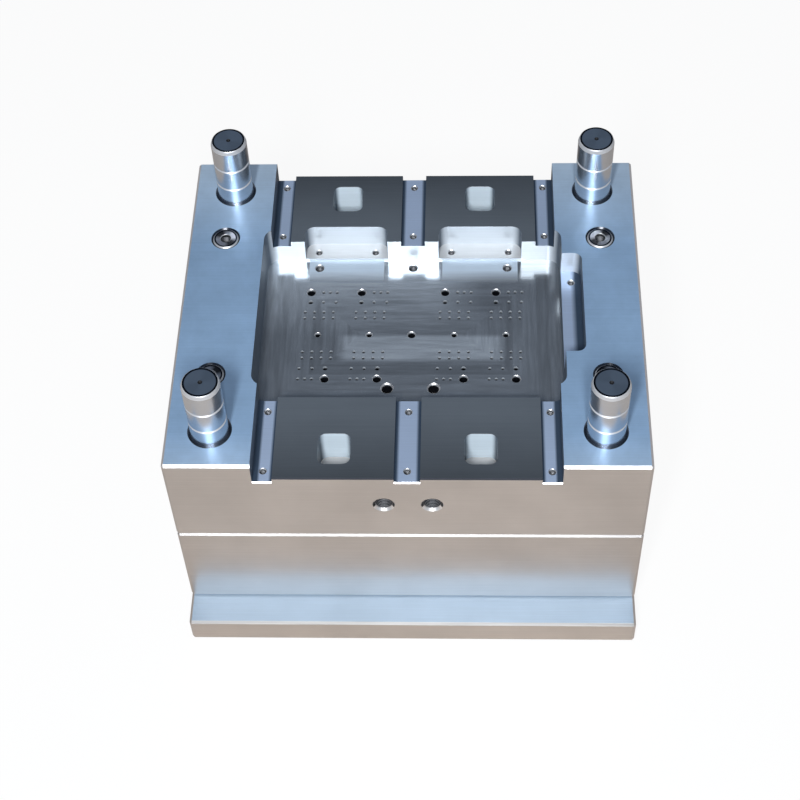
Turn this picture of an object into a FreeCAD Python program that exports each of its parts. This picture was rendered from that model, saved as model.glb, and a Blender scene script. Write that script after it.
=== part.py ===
"""Moving half of an injection mould base, standing on its bottom clamp plate.

Millimetres. +X runs along the long side, +Y to the back, +Z up out of the parting face.
The origin is the centre of the clamp plate's underside, where the mould meets the press platen.
"""
import FreeCAD, Part
import math
import os

os.makedirs("parts", exist_ok=True)

# ------------------------------------------------------------------ plate set
PLATE_LENGTH = 350.0            # X, every plate and block
PLATE_WIDTH = 300.0             # Y, B plate over both spacer blocks
CLAMP_FLANGE = 25.0             # clamp plate beyond the spacer blocks, front and back
CLAMP_THICKNESS = 25.0
SPACER_WIDTH = 53.0
SPACER_HEIGHT = 90.0
B_PLATE_THICKNESS = 90.0
PLATE_CHAMFER = 1.8             # broken edges of the ground plates

# ------------------------------------------------------------------ B plate machining
POCKET_LENGTH = 232.6           # insert pocket, X
POCKET_WIDTH = 154.0            # insert pocket, Y
POCKET_DEPTH = 37.0
POCKET_CORNER = 10.0
SLIDE_WAY_WIDTH = 223.0         # both slides and their three gib seats, X
SLIDE_FLOOR_DEPTH = 15.0
GIB_SEAT_DEPTH = 20.0
MIDDLE_GIB_WIDTH = 19.0
OUTER_GIB_WIDTH = 14.5
SLIDE_FLOOR_BEVEL = 1.0         # along the outer edge of each slide floor and gib seat
RELIEF_LENGTH = 24.0            # angle pin relief pocket, X
RELIEF_WIDTH = 27.0             # angle pin relief pocket, Y
RELIEF_EDGE = 13.0              # from the plate's outer face
RELIEF_DEPTH = 30.0             # below the slide floor
RELIEF_CORNER = 6.0
HEEL_LENGTH = 66.0              # heel block recess in the pocket's back wall, X
HEEL_REACH = 16.0               # into the wall, Y
HEEL_DEPTH = 35.0               # below the parting face
HEEL_CORNER = 8.0
HEEL_HOLE_PITCH = 45.6
HEEL_HOLE_INSET = 6.3           # from the pocket's back wall line
NOTCH_REACH = 15.2              # wedge notch in the pocket's right wall, X
NOTCH_FRONT = -45.0
NOTCH_BACK = 51.5
NOTCH_DEPTH = 22.0
NOTCH_CORNER = 6.5
NOTCH_HOLE_INSET_X = 7.6        # from the pocket's right wall line
NOTCH_HOLE_INSET_Y = 11.5       # from the notch's back wall

# ------------------------------------------------------------------ holes in the B plate
MOUTH = 0.4                     # chamfer at the mouth of a drilled hole
TIP_ANGLE = 118.0               # drill point
GIB_TAP_RADIUS = 2.5            # M6
GIB_TAP_DEPTH = 16.0
GIB_HOLE_INSET = 10.0           # from the outer face and from the pocket
HEEL_TAP_RADIUS = 2.5           # M6
HEEL_TAP_DEPTH = 16.0
WALL_TAP_RADIUS = 3.4           # M8, three in line near the pocket's back wall
WALL_TAP_DEPTH = 22.0
WALL_TAP_PITCH = 75.0
WALL_TAP_INSET = 8.6
CAVITY_X = (-73.0, -33.0, 33.0, 73.0)   # centre line of each cavity insert
INSERT_SCREW_RADIUS = 3.3       # M6 clearance, two for each cavity
INSERT_SCREW_HEAD_RADIUS = 5.5
INSERT_SCREW_SEAT = 20.0        # floor left under each screw head
INSERT_SCREW_DX = 7.3
INSERT_SCREW_DY = 43.0
LOCATOR_RADIUS = 2.2            # one on each cavity's centre
SPRUE_PULLER_RADIUS = 3.0       # on the plate's centre
NEAR_SCREW_RADIUS = 1.9         # ejector pin hole beside each insert screw
EJECTOR_RADIUS = 1.35
EJECTOR_PITCH_X = 7.4
EJECTOR_ROWS_Y = (16.9, 22.9)
OUTER_ROW_DX = (2.7, 12.7)
OUTER_ROW_DY = 33.0
LAST_ROW_DX = (2.6, 7.8, 13.2)
LAST_ROW_DY = 43.2
WATER_X = 17.7                  # half the distance between inlet and outlet
WATER_DEPTH = 48.5              # below the parting face
WATER_RADIUS = 4.0
WATER_RISE_Y = 52.0             # riser in front of the plate's centre
WATER_RISE_RADIUS = 4.2
WATER_RISE_MOUTH = 0.9
PORT_RADIUS = 6.6               # quarter inch pipe thread
PORT_DEPTH = 18.0
PORT_MOUTH = 1.8
EYEBOLT_RADIUS = 7.0            # M16
EYEBOLT_DEPTH = 32.0
EYEBOLT_MOUTH = 1.4
EYEBOLT_BELOW = 45.0            # below the parting face

# ------------------------------------------------------------------ guide pins
GUIDE_RADIUS = 14.0
GUIDE_REACH = 57.0              # above the parting face
GUIDE_INSET_X = 32.5            # from the B plate's ends
GUIDE_INSET_Y = 32.0            # from the B plate's front and back
GUIDE_HEAD_RADIUS = 16.5
GUIDE_HEAD_HEIGHT = 8.0
GUIDE_LEAD_HEIGHT = 3.2         # tapered lead at the free end
GUIDE_LEAD_TAPER = 0.9
GUIDE_END_BREAK = 0.5
GROOVE_HEIGHTS = (16.0, 35.5)   # oil grooves above the parting face
GROOVE_WIDTH = 2.4
GROOVE_DEPTH = 0.8
CENTRE_RADIUS = 1.6             # turning centre in the end face
CENTRE_TIP = 0.5
GUIDE_FIT = 0.02
GUIDE_MOUTH = 2.2

# ------------------------------------------------------------------ ejector set
RETAINER_THICKNESS = 20.0
BASE_THICKNESS = 25.0
EJECTOR_SIDE_GAP = 2.0
RETURN_RADIUS = 10.0
RETURN_INSET_X = 28.5           # from the ends of the ejector plates
RETURN_INSET_Y = 27.5           # from the sides of the ejector plates
RETURN_HEAD_RADIUS = 12.5
RETURN_HEAD_HEIGHT = 8.0
RETURN_END_BREAK = 1.0
RETURN_TAP_RADIUS = 4.0
RETURN_TAP_DEPTH = 20.0
RETURN_FIT = 0.05               # running fit in the B plate
RETURN_FLOAT = 0.5              # loose in the retainer plate
RETURN_MOUTH = 1.3
STOP_HEIGHT = 5.0
STOP_RADIUS = 12.5
STOP_EDGE = 0.5                 # broken edge of the button
STOP_INSET = 25.0               # from the ends and sides of the ejector plates
KNOCKOUT_RADIUS = 20.0
KNOCKOUT_TAP_RADIUS = 7.0       # M16 in the ejector base plate
KNOCKOUT_TAP_DEPTH = 20.0

# ------------------------------------------------------------------ fasteners
FASTENER_GAP = 0.1              # between a screw and its hole
HEAD_GAP = 0.75                 # round a screw head
HEAD_SINK = 1.0                 # screw heads below the face
SCREW_EDGE = 0.6                # broken edges of head and tip
CLAMP_SCREW = {"r": 7.0, "head_r": 10.5, "head_h": 14.0, "socket": 12.0, "socket_h": 7.0}
CLAMP_SCREW_INSET_X = 70.0
CLAMP_SCREW_GRIP = 24.0
BLOCK_SCREW = {"r": 4.0, "head_r": 6.5, "head_h": 8.0, "socket": 6.0, "socket_h": 4.0}
BLOCK_SCREW_INSET_X = 115.0
BLOCK_SCREW_GRIP = 18.0
EJECTOR_SCREW = {"r": 4.0, "head_r": 6.5, "head_h": 8.0, "socket": 6.0, "socket_h": 4.0}
EJECTOR_SCREW_INSET_X = 70.0
EJECTOR_SCREW_INSET_Y = 17.0
EJECTOR_SCREW_GRIP = 14.0
STOP_SCREW_RADIUS = 3.0
STOP_SCREW_HEAD_RADIUS = 6.0
STOP_SCREW_HEAD_HEIGHT = 3.3
STOP_SCREW_SOCKET = 4.0
STOP_SCREW_SOCKET_DEPTH = 2.3
STOP_SCREW_GRIP = 14.0

# ------------------------------------------------------------------ levels and lines
UP = FreeCAD.Vector(0, 0, 1)
DOWN = FreeCAD.Vector(0, 0, -1)
OVERRUN = 0.5                   # how far a cutter starts outside the face it enters
Z_BLOCK = CLAMP_THICKNESS
Z_B = Z_BLOCK + SPACER_HEIGHT
Z_PARTING = Z_B + B_PLATE_THICKNESS
Z_BASE = CLAMP_THICKNESS + STOP_HEIGHT
Z_RETAINER = Z_BASE + BASE_THICKNESS
Z_RETAINER_TOP = Z_RETAINER + RETAINER_THICKNESS
Z_FLOOR = Z_PARTING - POCKET_DEPTH
Z_SLIDE = Z_PARTING - SLIDE_FLOOR_DEPTH
Z_GIB = Z_PARTING - GIB_SEAT_DEPTH
HALF_LENGTH = PLATE_LENGTH / 2
HALF_WIDTH = PLATE_WIDTH / 2
POCKET_X = POCKET_LENGTH / 2
POCKET_Y = POCKET_WIDTH / 2
WAY_X = SLIDE_WAY_WIDTH / 2
GIB_X = WAY_X - OUTER_GIB_WIDTH / 2
SLIDE_X = (WAY_X - OUTER_GIB_WIDTH + MIDDLE_GIB_WIDTH / 2) / 2
SLIDE_HALF = (WAY_X - OUTER_GIB_WIDTH - MIDDLE_GIB_WIDTH / 2) / 2
EJECTOR_HALF_WIDTH = HALF_WIDTH - SPACER_WIDTH - EJECTOR_SIDE_GAP
GUIDE_X = HALF_LENGTH - GUIDE_INSET_X
GUIDE_Y = HALF_WIDTH - GUIDE_INSET_Y
RETURN_X = HALF_LENGTH - RETURN_INSET_X
RETURN_Y = EJECTOR_HALF_WIDTH - RETURN_INSET_Y
BLOCK_Y = HALF_WIDTH - SPACER_WIDTH / 2
CLAMP_SCREW_X = HALF_LENGTH - CLAMP_SCREW_INSET_X
BLOCK_SCREW_X = HALF_LENGTH - BLOCK_SCREW_INSET_X
EJECTOR_SCREW_X = HALF_LENGTH - EJECTOR_SCREW_INSET_X
EJECTOR_SCREW_Y = EJECTOR_HALF_WIDTH - EJECTOR_SCREW_INSET_Y
STOP_X = HALF_LENGTH - STOP_INSET
STOP_Y = EJECTOR_HALF_WIDTH - STOP_INSET
CORNERS = ((-1, -1, "front_left"), (1, -1, "front_right"), (-1, 1, "back_left"), (1, 1, "back_right"))


# ------------------------------------------------------------------ shape helpers
def block(x0, x1, y0, y1, z0, z1):
    return Part.makeBox(x1 - x0, y1 - y0, z1 - z0, FreeCAD.Vector(x0, y0, z0))


def rounded_block(x0, x1, y0, y1, z0, z1, corner):
    """A block whose upright edges are rounded, as an end mill leaves them."""
    shape = block(x0, x1, y0, y1, z0, z1)
    upright = [e for e in shape.Edges if abs(e.tangentAt(e.FirstParameter).z) > 0.9]
    return shape.makeFillet(corner, upright)


def ground_plate(width, z0, z1):
    """A plate of the set, full length, with every edge broken."""
    shape = block(-HALF_LENGTH, HALF_LENGTH, -width / 2, width / 2, z0, z1)
    return shape.makeChamfer(PLATE_CHAMFER, shape.Edges)


def drill(x, y, z, direction, depth, radius, mouth=0.0, tip=False):
    """Cutter for a round hole that enters the face at x, y, z and runs along direction."""
    entry = FreeCAD.Vector(x, y, z)
    start = entry - direction * OVERRUN
    tool = Part.makeCylinder(radius, depth + OVERRUN, start, direction)
    if mouth > 0:
        flare = Part.makeCone(radius + mouth + OVERRUN, radius, mouth + OVERRUN, start, direction)
        tool = tool.fuse(flare)
    if tip:
        height = radius / math.tan(math.radians(TIP_ANGLE / 2))
        tool = tool.fuse(Part.makeCone(radius, 0, height, entry + direction * depth, direction))
    return tool


def turned(profile, x, y, z):
    """Solid of revolution round a vertical axis from (radius, height) corners, axis closed."""
    points = [FreeCAD.Vector(r, 0, h) for r, h in profile]
    face = Part.Face(Part.makePolygon(points + [points[0]]))
    shape = face.revolve(FreeCAD.Vector(0, 0, 0), UP, 360)
    shape.translate(FreeCAD.Vector(x, y, z))
    return shape


def hexagon(across_flats, x, y, z0, z1):
    corner = across_flats / math.sqrt(3)
    angles = [math.radians(60 * k) for k in range(7)]
    ring = [FreeCAD.Vector(x + corner * math.cos(a), y + corner * math.sin(a), z0) for a in angles]
    return Part.Face(Part.makePolygon(ring)).extrude(UP * (z1 - z0))


def cap_screw(size, x, y, seat, tip):
    """Socket head cap screw put in from below: head under the seat, shank up to the tip."""
    head_h = size["head_h"]
    profile = [
        (0, tip),
        (size["r"] - SCREW_EDGE, tip),
        (size["r"], tip - SCREW_EDGE),
        (size["r"], seat),
        (size["head_r"], seat),
        (size["head_r"], seat - head_h + SCREW_EDGE),
        (size["head_r"] - SCREW_EDGE, seat - head_h),
        (0, seat - head_h),
    ]
    screw = turned(profile, x, y, 0)
    low = seat - head_h
    return screw.cut(hexagon(size["socket"], x, y, low, low + size["socket_h"]))


def screw_way(size, x, y, face, thickness):
    """Cutter in a plate for a cap screw put in from below: counterbore and clearance hole."""
    sink = size["head_h"] + HEAD_SINK
    head = drill(x, y, face, UP, sink, size["head_r"] + HEAD_GAP)
    shank = drill(x, y, face, UP, thickness + OVERRUN, size["r"] + HEAD_GAP)
    return head.fuse(shank)


def seat_of(size, face):
    return face + size["head_h"] + HEAD_SINK


def export(name, shape):
    shape.exportStep("parts/" + name + ".step")


# ------------------------------------------------------------------ B plate
def slide_ways():
    """The open ways at front and back: slide floors with a deeper gib seat on each side."""
    tools = []
    top = Z_PARTING + OVERRUN
    outer = HALF_WIDTH + OVERRUN
    inner = POCKET_Y - POCKET_CORNER
    seats = ((-WAY_X, -WAY_X + OUTER_GIB_WIDTH), (-MIDDLE_GIB_WIDTH / 2, MIDDLE_GIB_WIDTH / 2),
             (WAY_X - OUTER_GIB_WIDTH, WAY_X))
    for side in (-1, 1):
        y0, y1 = sorted((side * inner, side * outer))
        tools.append(block(-WAY_X, WAY_X, y0, y1, Z_SLIDE, top))
        for x0, x1 in seats:
            tools.append(block(x0, x1, y0, y1, Z_GIB, top))
            tools.append(edge_bevel(x0, x1, side, Z_GIB))
        for sign in (-1, 1):
            x = sign * SLIDE_X
            tools.append(edge_bevel(x - SLIDE_HALF, x + SLIDE_HALF, side, Z_SLIDE))
            tools.append(relief_pocket(x, side))
    return tools


def edge_bevel(x0, x1, side, level):
    """Cutter that breaks the outer edge of a slide floor or gib seat, front or back."""
    face_y = side * HALF_WIDTH
    out_y = face_y + side * OVERRUN
    reach = SLIDE_FLOOR_BEVEL + OVERRUN
    corners = ((out_y, level - reach), (out_y, level + OVERRUN),
               (face_y - side * reach, level + OVERRUN))
    points = [FreeCAD.Vector(x0, y, z) for y, z in corners]
    return Part.Face(Part.makePolygon(points + [points[0]])).extrude(FreeCAD.Vector(x1 - x0, 0, 0))


def relief_pocket(x, side):
    outer = HALF_WIDTH - RELIEF_EDGE
    y0, y1 = sorted((side * outer, side * (outer - RELIEF_WIDTH)))
    half = RELIEF_LENGTH / 2
    bottom = Z_SLIDE - RELIEF_DEPTH
    return rounded_block(x - half, x + half, y0, y1, bottom, Z_SLIDE + OVERRUN, RELIEF_CORNER)


def insert_pocket():
    """Main pocket, the two heel block recesses behind it and the wedge notch on the right."""
    top = Z_PARTING + OVERRUN
    tools = [rounded_block(-POCKET_X, POCKET_X, -POCKET_Y, POCKET_Y, Z_FLOOR, top, POCKET_CORNER)]
    heel_front = POCKET_Y - 2 * HEEL_CORNER
    heel_level = Z_PARTING - HEEL_DEPTH
    for sign in (-1, 1):
        x = sign * SLIDE_X
        half = HEEL_LENGTH / 2
        tools.append(rounded_block(x - half, x + half, heel_front, POCKET_Y + HEEL_REACH,
                                   heel_level, top, HEEL_CORNER))
        for end in (-1, 1):
            tools.append(drill(x + end * HEEL_HOLE_PITCH / 2, POCKET_Y + HEEL_HOLE_INSET, heel_level,
                               DOWN, HEEL_TAP_DEPTH, HEEL_TAP_RADIUS, MOUTH, tip=True))
    notch_level = Z_PARTING - NOTCH_DEPTH
    tools.append(rounded_block(POCKET_X - 2 * NOTCH_CORNER, POCKET_X + NOTCH_REACH,
                               NOTCH_FRONT, NOTCH_BACK, notch_level, top, NOTCH_CORNER))
    tools.append(drill(POCKET_X + NOTCH_HOLE_INSET_X, NOTCH_BACK - NOTCH_HOLE_INSET_Y, notch_level,
                       DOWN, GIB_TAP_DEPTH, GIB_TAP_RADIUS, MOUTH, tip=True))
    return tools


def gib_holes():
    tools = []
    near = POCKET_Y + GIB_HOLE_INSET
    far = HALF_WIDTH - GIB_HOLE_INSET
    for side in (-1, 1):
        for y in (near, far):
            for x in (-GIB_X, 0, GIB_X):
                tools.append(drill(x, side * y, Z_GIB, DOWN, GIB_TAP_DEPTH, GIB_TAP_RADIUS,
                                   MOUTH, tip=True))
    return tools


def floor_hole(x, y, radius, mouth=0.0):
    """A hole straight through the floor of the insert pocket."""
    return drill(x, y, Z_FLOOR, DOWN, Z_FLOOR - Z_B + OVERRUN, radius, mouth)


def cavity_holes(x):
    """Insert screws and ejector pins under one cavity, the same when turned half a turn."""
    tools = [floor_hole(x, 0, LOCATOR_RADIUS, MOUTH)]
    head_depth = Z_FLOOR - Z_B - INSERT_SCREW_SEAT
    for turn in (-1, 1):
        sx = x + turn * INSERT_SCREW_DX
        sy = -turn * INSERT_SCREW_DY
        tools.append(floor_hole(sx, sy, INSERT_SCREW_RADIUS, MOUTH))
        tools.append(drill(sx, sy, Z_B, UP, head_depth, INSERT_SCREW_HEAD_RADIUS))
        tools.append(floor_hole(sx, -turn * OUTER_ROW_DY, NEAR_SCREW_RADIUS))
        for dx in OUTER_ROW_DX:
            tools.append(floor_hole(x - turn * dx, -turn * OUTER_ROW_DY, EJECTOR_RADIUS))
        for dx in LAST_ROW_DX:
            tools.append(floor_hole(x - turn * dx, -turn * LAST_ROW_DY, EJECTOR_RADIUS))
        for dy in EJECTOR_ROWS_Y:
            for step in (-1.5, -0.5, 0.5, 1.5):
                tools.append(floor_hole(x + step * EJECTOR_PITCH_X, turn * dy, EJECTOR_RADIUS))
    return tools


def pocket_floor_holes():
    tools = [floor_hole(0, 0, SPRUE_PULLER_RADIUS, MOUTH)]
    for x in CAVITY_X:
        tools += cavity_holes(x)
    for k in (-1, 0, 1):
        tools.append(drill(k * WALL_TAP_PITCH, POCKET_Y - WALL_TAP_INSET, Z_FLOOR, DOWN,
                           WALL_TAP_DEPTH, WALL_TAP_RADIUS, MOUTH, tip=True))
    return tools


def water_ways():
    """Inlet and outlet: a threaded port in the front face, a bore to the back and a riser."""
    tools = []
    inward = FreeCAD.Vector(0, 1, 0)
    z = Z_PARTING - WATER_DEPTH
    for sign in (-1, 1):
        x = sign * WATER_X
        tools.append(drill(x, -HALF_WIDTH, z, inward, PORT_DEPTH, PORT_RADIUS, PORT_MOUTH, tip=True))
        tools.append(drill(x, -HALF_WIDTH, z, inward, HALF_WIDTH - WATER_RISE_Y, WATER_RADIUS))
        tools.append(drill(x, -WATER_RISE_Y, Z_FLOOR, DOWN, Z_FLOOR - z, WATER_RISE_RADIUS,
                           WATER_RISE_MOUTH))
    return tools


def eyebolt_holes():
    tools = []
    for sign in (-1, 1):
        inward = FreeCAD.Vector(-sign, 0, 0)
        tools.append(drill(sign * HALF_LENGTH, 0, Z_PARTING - EYEBOLT_BELOW, inward,
                           EYEBOLT_DEPTH, EYEBOLT_RADIUS, EYEBOLT_MOUTH, tip=True))
    return tools


def pin_and_screw_bores():
    tools = []
    full = B_PLATE_THICKNESS + OVERRUN
    for sx, sy, _ in CORNERS:
        gx, gy = sx * GUIDE_X, sy * GUIDE_Y
        tools.append(drill(gx, gy, Z_PARTING, DOWN, full, GUIDE_RADIUS + GUIDE_FIT, GUIDE_MOUTH))
        tools.append(drill(gx, gy, Z_B, UP, GUIDE_HEAD_HEIGHT, GUIDE_HEAD_RADIUS + HEAD_GAP))
        tools.append(drill(sx * RETURN_X, sy * RETURN_Y, Z_PARTING, DOWN, full,
                           RETURN_RADIUS + RETURN_FIT, RETURN_MOUTH))
        tools.append(drill(sx * CLAMP_SCREW_X, sy * BLOCK_Y, Z_B, UP, CLAMP_SCREW_GRIP + OVERRUN,
                           CLAMP_SCREW["r"] + FASTENER_GAP, tip=True))
    return tools


def b_plate():
    plate = ground_plate(PLATE_WIDTH, Z_B, Z_PARTING)
    plate = plate.cut(slide_ways() + insert_pocket())
    plate = plate.cut(gib_holes() + water_ways() + eyebolt_holes() + pin_and_screw_bores())
    return plate.cut(pocket_floor_holes())


# ------------------------------------------------------------------ clamp plate and spacer blocks
def clamp_plate():
    plate = ground_plate(PLATE_WIDTH + 2 * CLAMP_FLANGE, 0, CLAMP_THICKNESS)
    through = CLAMP_THICKNESS + OVERRUN
    tools = [drill(0, 0, 0, UP, through, KNOCKOUT_RADIUS, MOUTH)]
    for sx, sy, _ in CORNERS:
        tools.append(screw_way(CLAMP_SCREW, sx * CLAMP_SCREW_X, sy * BLOCK_Y, 0, CLAMP_THICKNESS))
        tools.append(screw_way(BLOCK_SCREW, sx * BLOCK_SCREW_X, sy * BLOCK_Y, 0, CLAMP_THICKNESS))
        tools.append(drill(sx * STOP_X, sy * STOP_Y, CLAMP_THICKNESS, DOWN, STOP_SCREW_GRIP + OVERRUN,
                           STOP_SCREW_RADIUS + FASTENER_GAP))
    return plate.cut(tools)


def spacer_block(side):
    y0, y1 = sorted((side * HALF_WIDTH, side * (HALF_WIDTH - SPACER_WIDTH)))
    shape = block(-HALF_LENGTH, HALF_LENGTH, y0, y1, Z_BLOCK, Z_B)
    shape = shape.makeChamfer(PLATE_CHAMFER, shape.Edges)
    tools = []
    for end in (-1, 1):
        tools.append(drill(end * CLAMP_SCREW_X, side * BLOCK_Y, Z_BLOCK, UP, SPACER_HEIGHT + OVERRUN,
                           CLAMP_SCREW["r"] + HEAD_GAP))
        tools.append(drill(end * BLOCK_SCREW_X, side * BLOCK_Y, Z_BLOCK, UP,
                           BLOCK_SCREW_GRIP + OVERRUN, BLOCK_SCREW["r"] + FASTENER_GAP, tip=True))
    return shape.cut(tools)


# ------------------------------------------------------------------ guide pins and ejector set
def guide_pin(x, y):
    """Leader pin: head under the B plate, oil grooves and a tapered lead at the free end."""
    top = Z_PARTING + GUIDE_REACH
    lead = top - GUIDE_LEAD_HEIGHT
    end_r = GUIDE_RADIUS - GUIDE_LEAD_TAPER
    profile = [(0, Z_B), (GUIDE_HEAD_RADIUS, Z_B), (GUIDE_HEAD_RADIUS, Z_B + GUIDE_HEAD_HEIGHT),
               (GUIDE_RADIUS, Z_B + GUIDE_HEAD_HEIGHT)]
    for height in GROOVE_HEIGHTS:
        z = Z_PARTING + height
        profile += [(GUIDE_RADIUS, z - GROOVE_WIDTH / 2),
                    (GUIDE_RADIUS - GROOVE_DEPTH, z - GROOVE_WIDTH / 2 + GROOVE_DEPTH),
                    (GUIDE_RADIUS - GROOVE_DEPTH, z + GROOVE_WIDTH / 2 - GROOVE_DEPTH),
                    (GUIDE_RADIUS, z + GROOVE_WIDTH / 2)]
    profile += [(GUIDE_RADIUS, lead), (end_r, top - GUIDE_END_BREAK), (end_r - GUIDE_END_BREAK, top),
                (CENTRE_RADIUS, top), (CENTRE_TIP, top - CENTRE_RADIUS + CENTRE_TIP),
                (0, top - CENTRE_RADIUS + CENTRE_TIP)]
    return turned(profile, x, y, 0)


def return_pin(x, y):
    """Return pin: head held in the retainer plate, end flush with the parting face at rest."""
    profile = [(0, Z_RETAINER), (RETURN_HEAD_RADIUS, Z_RETAINER),
               (RETURN_HEAD_RADIUS, Z_RETAINER + RETURN_HEAD_HEIGHT),
               (RETURN_RADIUS, Z_RETAINER + RETURN_HEAD_HEIGHT),
               (RETURN_RADIUS, Z_PARTING - RETURN_END_BREAK),
               (RETURN_RADIUS - RETURN_END_BREAK, Z_PARTING),
               (RETURN_TAP_RADIUS + MOUTH, Z_PARTING),
               (RETURN_TAP_RADIUS, Z_PARTING - MOUTH),
               (RETURN_TAP_RADIUS, Z_PARTING - RETURN_TAP_DEPTH),
               (0, Z_PARTING - RETURN_TAP_DEPTH)]
    return turned(profile, x, y, 0)


def ejector_plate(z0, z1):
    half = EJECTOR_HALF_WIDTH
    shape = block(-HALF_LENGTH, HALF_LENGTH, -half, half, z0, z1)
    return shape.makeChamfer(PLATE_CHAMFER, shape.Edges)


def retainer_plate():
    tools = []
    for sx, sy, _ in CORNERS:
        rx, ry = sx * RETURN_X, sy * RETURN_Y
        tools.append(drill(rx, ry, Z_RETAINER, UP, RETAINER_THICKNESS + OVERRUN,
                           RETURN_RADIUS + RETURN_FLOAT))
        tools.append(drill(rx, ry, Z_RETAINER, UP, RETURN_HEAD_HEIGHT,
                           RETURN_HEAD_RADIUS + RETURN_FLOAT))
        tools.append(drill(sx * EJECTOR_SCREW_X, sy * EJECTOR_SCREW_Y, Z_RETAINER, UP,
                           EJECTOR_SCREW_GRIP + OVERRUN, EJECTOR_SCREW["r"] + FASTENER_GAP))
    return ejector_plate(Z_RETAINER, Z_RETAINER_TOP).cut(tools)


def ejector_base():
    tools = [drill(0, 0, Z_BASE, UP, KNOCKOUT_TAP_DEPTH, KNOCKOUT_TAP_RADIUS, MOUTH)]
    for sx, sy, _ in CORNERS:
        tools.append(screw_way(EJECTOR_SCREW, sx * EJECTOR_SCREW_X, sy * EJECTOR_SCREW_Y, Z_BASE,
                               BASE_THICKNESS))
    return ejector_plate(Z_BASE, Z_RETAINER).cut(tools)


def stop_button(x, y):
    """Hardened rest button under the ejector plates, countersunk for its screw."""
    rest = CLAMP_THICKNESS
    top = rest + STOP_HEIGHT
    hole = STOP_SCREW_RADIUS + FASTENER_GAP
    sink = STOP_SCREW_HEAD_RADIUS + FASTENER_GAP
    profile = [(hole, rest), (STOP_RADIUS, rest), (STOP_RADIUS, top - STOP_EDGE),
               (STOP_RADIUS - STOP_EDGE, top),
               (sink, top), (hole, top - STOP_SCREW_HEAD_HEIGHT)]
    return turned(profile, x, y, 0)


def stop_screw(x, y):
    """Countersunk screw put in from above, a little below the button's face."""
    top = CLAMP_THICKNESS + STOP_HEIGHT - FASTENER_GAP
    tip = CLAMP_THICKNESS - STOP_SCREW_GRIP
    profile = [(0, tip), (STOP_SCREW_RADIUS, tip), (STOP_SCREW_RADIUS, top - STOP_SCREW_HEAD_HEIGHT),
               (STOP_SCREW_HEAD_RADIUS, top), (0, top)]
    socket = hexagon(STOP_SCREW_SOCKET, x, y, top - STOP_SCREW_SOCKET_DEPTH, top)
    return turned(profile, x, y, 0).cut(socket)


def at_corners(make, x, y):
    """One compound of the same fastener at the four corners."""
    return Part.makeCompound([make(sx * x, sy * y) for sx, sy, _ in CORNERS])


def clamp_screw(x, y):
    return cap_screw(CLAMP_SCREW, x, y, seat_of(CLAMP_SCREW, 0), Z_B + CLAMP_SCREW_GRIP)


def block_screw(x, y):
    return cap_screw(BLOCK_SCREW, x, y, seat_of(BLOCK_SCREW, 0), Z_BLOCK + BLOCK_SCREW_GRIP)


def ejector_screw(x, y):
    return cap_screw(EJECTOR_SCREW, x, y, seat_of(EJECTOR_SCREW, Z_BASE),
                     Z_RETAINER + EJECTOR_SCREW_GRIP)


# ------------------------------------------------------------------ build
export("b_plate", b_plate())
export("clamp_plate", clamp_plate())
export("spacer_block_front", spacer_block(-1))
export("spacer_block_back", spacer_block(1))
for side_x, side_y, corner in CORNERS:
    export("guide_pin_" + corner, guide_pin(side_x * GUIDE_X, side_y * GUIDE_Y))
    export("return_pin_" + corner, return_pin(side_x * RETURN_X, side_y * RETURN_Y))
    export("stop_button_" + corner, stop_button(side_x * STOP_X, side_y * STOP_Y))
export("ejector_retainer_plate", retainer_plate())
export("ejector_base_plate", ejector_base())
export("main_clamp_screws", at_corners(clamp_screw, CLAMP_SCREW_X, BLOCK_Y))
export("spacer_block_screws", at_corners(block_screw, BLOCK_SCREW_X, BLOCK_Y))
export("ejector_plate_screws", at_corners(ejector_screw, EJECTOR_SCREW_X, EJECTOR_SCREW_Y))
export("stop_button_screws", at_corners(stop_screw, STOP_X, STOP_Y))
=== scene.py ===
import math

import bmesh
import bpy
from mathutils import Matrix, Vector


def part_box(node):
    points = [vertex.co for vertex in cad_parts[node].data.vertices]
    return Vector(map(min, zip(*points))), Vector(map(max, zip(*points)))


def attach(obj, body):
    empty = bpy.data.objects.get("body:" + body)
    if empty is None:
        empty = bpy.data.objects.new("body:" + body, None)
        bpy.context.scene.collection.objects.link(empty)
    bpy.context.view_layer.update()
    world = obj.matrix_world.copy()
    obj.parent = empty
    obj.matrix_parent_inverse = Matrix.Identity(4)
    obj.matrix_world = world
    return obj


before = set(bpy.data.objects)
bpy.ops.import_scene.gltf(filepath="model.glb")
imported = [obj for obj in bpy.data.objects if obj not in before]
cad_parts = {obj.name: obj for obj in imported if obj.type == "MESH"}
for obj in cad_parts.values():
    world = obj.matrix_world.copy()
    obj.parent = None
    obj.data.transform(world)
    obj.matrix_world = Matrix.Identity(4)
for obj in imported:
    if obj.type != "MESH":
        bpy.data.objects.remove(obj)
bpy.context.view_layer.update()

# ------------------------------------------------------------------ sizes, metres
MM = 0.001
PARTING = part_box("b_plate")[1][2]
PLATE_LOW, PLATE_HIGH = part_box("b_plate")
POCKET_FLOOR = PARTING - 37.0 * MM
HEEL_LEVEL = PARTING - 35.0 * MM
NOTCH_LEVEL = PARTING - 22.0 * MM
SLIDE_LEVEL = PARTING - 15.0 * MM
GIB_LEVEL = PARTING - 20.0 * MM
POCKET_X = 116.3 * MM           # half lengths of the pocket and of the slide ways
POCKET_Y = 77.0 * MM
WAY_X = 111.5 * MM
OUTER_GIB = 14.5 * MM
MIDDLE_GIB = 9.5 * MM
SLIDE_X = 53.25 * MM
HEEL_HALF = 33.0 * MM
HEEL_REACH = 16.0 * MM
RELIEF_HALF = 12.5 * MM
RELIEF_NEAR = 109.0 * MM
RELIEF_FAR = 138.0 * MM
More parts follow.
